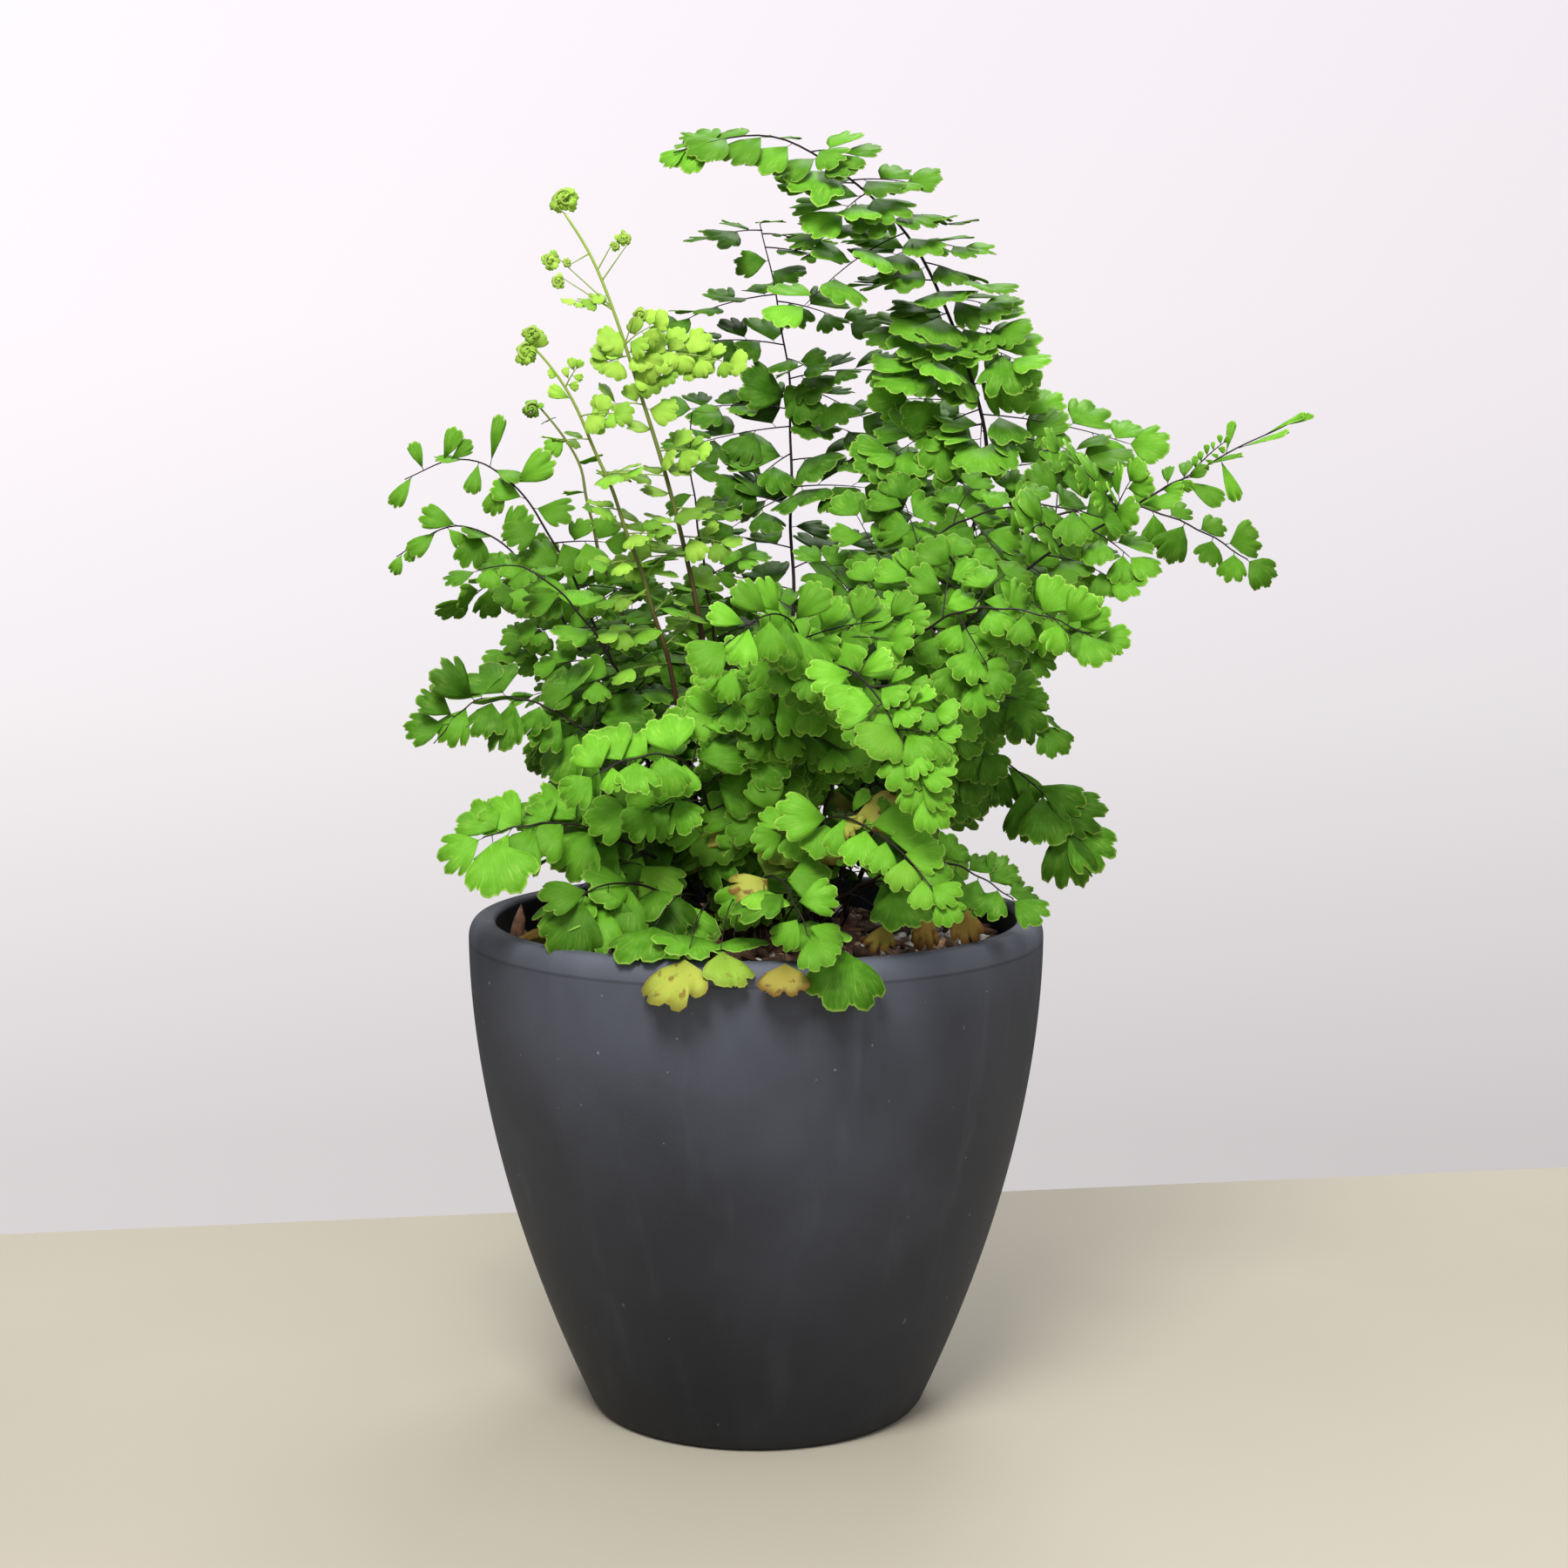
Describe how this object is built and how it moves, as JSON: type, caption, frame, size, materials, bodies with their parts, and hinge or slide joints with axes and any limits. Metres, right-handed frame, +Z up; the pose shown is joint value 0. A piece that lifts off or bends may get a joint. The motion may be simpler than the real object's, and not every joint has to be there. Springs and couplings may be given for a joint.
{
  "type": "potted maidenhair fern",
  "caption": "Maidenhair fern with fan-shaped leaflets on thin dark arching stems, growing from potting mix in a rounded, tapering charcoal pot.",
  "frame": {"origin": "centre of the pot's flat underside, on the surface that it stands on", "axes": "+Z up, along the pot's axis; -Y is the front; +X is the viewer's right, where the longest side frond reaches"},
  "size_m": [0.2814, 0.244, 0.4096],
  "materials": {
    "pot": "matte, faintly streaked",
    "potting_mix": "loose bark chips with pale grit",
    "rhizome": "rough, fibrous",
    "stem": "smooth, wiry, nearly black",
    "young_stem": "smooth, brown turning green",
    "leaf": "soft matte green, finely veined",
    "young_leaf": "soft matte yellow-green, finely veined",
    "dry_leaf": "dry, curled, brown"
  },
  "bodies": {
    "root": {"pot": "pot", "potting_mix": "potting_mix", "rhizome": "rhizome", "dry_leaf": "dry_leaf", "tall_arching_stem": "stem", "tall_arching_leaves": "leaf", "tall_back_stem": "stem", "tall_back_leaves": "leaf", "tall_unfurling_stem": "young_stem", "tall_unfurling_leaves": "young_leaf", "small_unfurling_stem": "young_stem", "small_unfurling_leaves": "young_leaf", "upper_left_stem": "young_stem", "upper_left_leaves": "young_leaf", "outer_left_stem": "young_stem", "outer_left_leaves": "young_leaf", "middle_left_stem": "stem", "middle_left_leaves": "leaf", "dark_left_stem": "stem", "dark_left_leaves": "leaf", "lower_left_stem": "stem", "lower_left_leaves": "leaf", "rim_left_stem": "stem", "rim_left_leaves": "leaf", "rim_front_stem": "stem", "rim_front_leaves": "leaf", "fan_front_stem": "stem", "fan_front_leaves": "leaf", "cascade_stem": "stem", "cascade_leaves": "leaf", "lower_cascade_stem": "stem", "lower_cascade_leaves": "leaf", "long_right_stem": "young_stem", "long_right_leaves": "young_leaf", "drooping_right_stem": "stem", "drooping_right_leaves": "leaf", "middle_right_stem": "stem", "middle_right_leaves": "leaf", "upper_right_stem": "stem", "upper_right_leaves": "leaf", "dark_right_stem": "stem", "dark_right_leaves": "leaf", "low_right_stem": "stem", "low_right_leaves": "leaf", "rim_right_stem": "stem", "rim_right_leaves": "leaf", "inner_left_stem": "stem", "inner_left_leaves": "leaf", "inner_upper_stem": "young_stem", "inner_upper_leaves": "young_leaf", "inner_unfurling_stem": "young_stem", "inner_unfurling_leaves": "young_leaf", "back_left_stem": "stem", "back_left_leaves": "leaf", "back_right_stem": "stem", "back_right_leaves": "leaf", "back_middle_stem": "stem", "back_middle_leaves": "leaf", "back_low_stem": "stem", "back_low_leaves": "leaf"}
  },
  "joints": []
}
